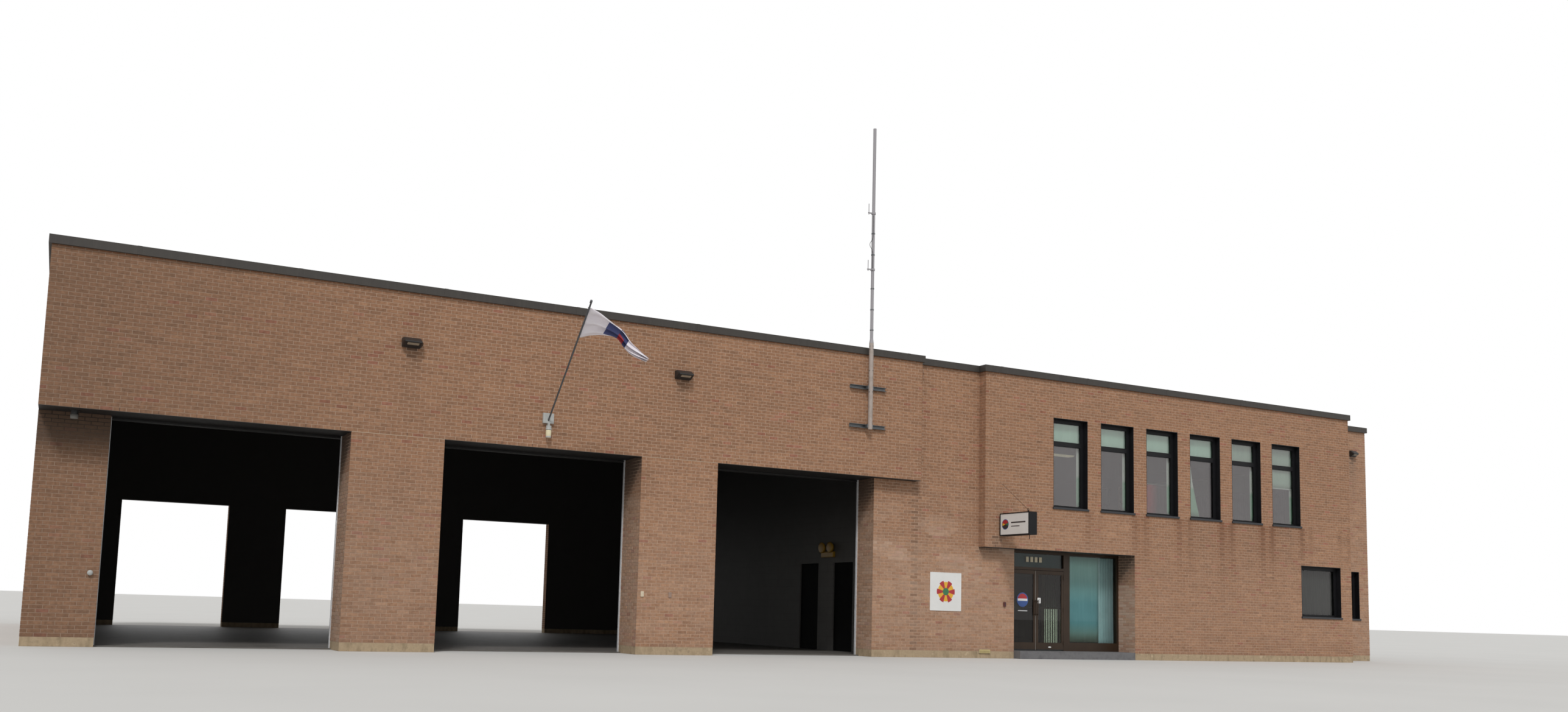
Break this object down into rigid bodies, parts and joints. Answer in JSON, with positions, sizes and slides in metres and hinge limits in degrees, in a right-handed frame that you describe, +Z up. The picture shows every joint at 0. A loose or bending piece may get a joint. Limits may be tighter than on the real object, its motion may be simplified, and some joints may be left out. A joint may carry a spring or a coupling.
{
  "type": "fire station building",
  "caption": "Brick fire station with drive-through truck bays under a deep brick band, a flat-roofed two-storey office, hinged entrance doors, projecting sign, flag and mast.",
  "frame": {"origin": "on the ground under the bay floor, in the middle of the building's plan", "axes": "+X along the front from the truck bays to the office, +Y from the front to the rear, +Z up"},
  "size_m": [39.104, 21.8859, 13.36],
  "materials": {
    "brick": "wire-cut clay brick in running bond",
    "concrete": "cast concrete, chipped",
    "painted_block": "painted blockwork",
    "dark_metal": "dark brown coated sheet",
    "black_metal": "black powder coat",
    "glass": "float glass",
    "bronze_metal": "bronze anodised aluminium",
    "roofing": "gravel on bitumen felt",
    "white_metal": "white coated steel",
    "white_panel": "white acrylic panel",
    "grey_plastic": "pale grey housing",
    "cloth": "woven polyester",
    "galvanised": "galvanised steel"
  },
  "bodies": {
    "station": {"left_pier": "brick", "pier_two": "brick", "pier_three": "brick", "right_pier": "brick", "plaque_wall": "brick", "recess_wall": "brick", "upper_front": "brick", "wall_returns": "brick", "left_side_wall": "brick", "rear_piers": "brick", "rear_header": "brick", "rear_office_wall": "brick", "right_side_wall": "brick", "far_right_wall": "brick", "office_front_upper": "brick", "office_front_lower": "brick", "bay_header": "dark_metal", "soffits": "dark_metal", "inner_wall": "painted_block", "inner_doors": "dark_metal", "bay_floor": "concrete", "office_floor": "concrete", "office_upper_floor": "concrete", "roofs": "roofing", "base_course": "concrete", "coping": "dark_metal", "door_tracks": "white_metal", "window_frames": "black_metal", "window_glass": "glass", "entrance_frame": "bronze_metal", "entrance_glass": "glass", "plaque": "white_panel", "sign_box": "white_panel", "sign_bracket": "black_metal", "wall_lamps": "dark_metal", "wall_fittings": "grey_plastic", "flag_bracket": "grey_plastic", "flag_pole": "dark_metal", "flag": "cloth", "mast": "galvanised", "mast_brackets": "galvanised"},
    "left_leaf": {"door_left": "bronze_metal", "door_left_glass": "glass"},
    "right_leaf": {"door_right": "bronze_metal", "door_right_glass": "glass"}
  },
  "joints": [
    {"name": "left_door_hinge", "type": "hinge", "parent": "station", "child": "left_leaf", "pos_m": [3.794, -9.078, 0.2], "axis": [0, 0, -1], "range_deg": [0, 90]},
    {"name": "right_door_hinge", "type": "hinge", "parent": "station", "child": "right_leaf", "pos_m": [5.734, -9.078, 0.2], "axis": [0, 0, 1], "range_deg": [0, 90]}
  ]
}
